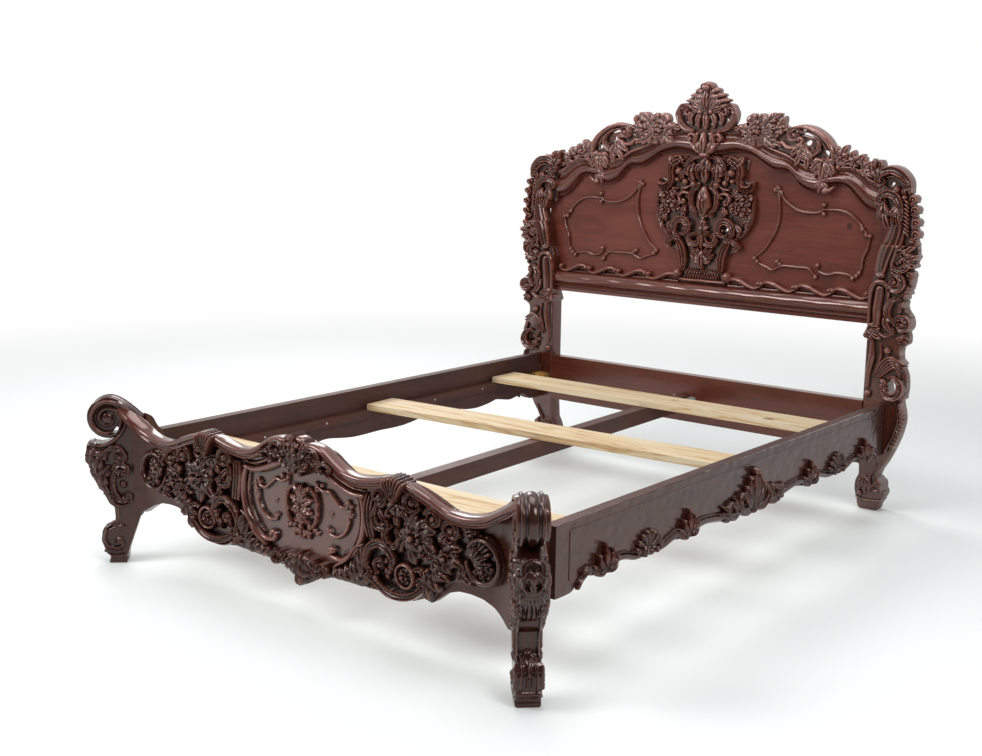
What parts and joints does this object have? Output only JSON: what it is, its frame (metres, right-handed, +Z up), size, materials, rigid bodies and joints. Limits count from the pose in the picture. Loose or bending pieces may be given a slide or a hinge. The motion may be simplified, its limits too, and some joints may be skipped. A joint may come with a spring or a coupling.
{
  "type": "carved wooden bed frame",
  "caption": "Dark mahogany rococo bed frame with a carved arched headboard, a low scroll-footed footboard, carved side rails, a centre rail and loose pine slats",
  "frame": {"origin": "on the floor, under the middle of the bed's overall length and width", "axes": "+X across the bed to the right as seen from the foot, +Y along the bed to the headboard, +Z up"},
  "size_m": [1.8426, 2.3374, 1.574],
  "materials": {
    "mahogany": "dark stained and polished",
    "pine": "bare sawn pine",
    "steel": "plain zinc-plated",
    "brass": "dull brass-plated"
  },
  "bodies": {
    "bed_frame": {"head_post_left": "mahogany", "head_post_right": "mahogany", "head_shoulder_left": "mahogany", "head_shoulder_right": "mahogany", "head_panel": "mahogany", "head_arch_left": "mahogany", "head_arch_right": "mahogany", "head_border_left": "mahogany", "head_border_right": "mahogany", "head_crest": "mahogany", "arch_clasp": "mahogany", "head_cartouche": "mahogany", "head_panel_rail": "mahogany", "wave_bead_left": "mahogany", "wave_bead_right": "mahogany", "panel_scrolls_left": "mahogany", "panel_scrolls_right": "mahogany", "head_cross_rail": "mahogany", "side_rail_left": "mahogany", "side_rail_right": "mahogany", "rail_carving_left": "mahogany", "rail_carving_right": "mahogany", "slat_cleat_left": "mahogany", "slat_cleat_right": "mahogany", "centre_rail": "mahogany", "foot_board": "mahogany", "foot_cap": "mahogany", "foot_cartouche": "mahogany", "foot_carving_left": "mahogany", "foot_carving_right": "mahogany", "foot_apron": "mahogany", "foot_leg_left": "mahogany", "foot_leg_right": "mahogany", "corner_wing_left": "mahogany", "corner_wing_right": "mahogany", "hanger_head": "steel", "hanger_foot": "steel", "hanger_screws": "steel", "rail_hooks": "steel", "hook_sockets": "steel", "corner_braces": "brass", "brace_screws": "brass", "cleat_screws": "steel"},
    "head_slat": {"slat_head": "pine"},
    "middle_slat": {"slat_middle": "pine"},
    "foot_slat": {"slat_foot": "pine"}
  },
  "joints": [
    {"name": "head_slat_lift", "type": "slide", "parent": "bed_frame", "child": "head_slat", "axis": [0, 0, 1], "range_m": [0, 0.3]},
    {"name": "middle_slat_lift", "type": "slide", "parent": "bed_frame", "child": "middle_slat", "axis": [0, 0, 1], "range_m": [0, 0.3]},
    {"name": "foot_slat_lift", "type": "slide", "parent": "bed_frame", "child": "foot_slat", "axis": [0, 0, 1], "range_m": [0, 0.3]}
  ]
}
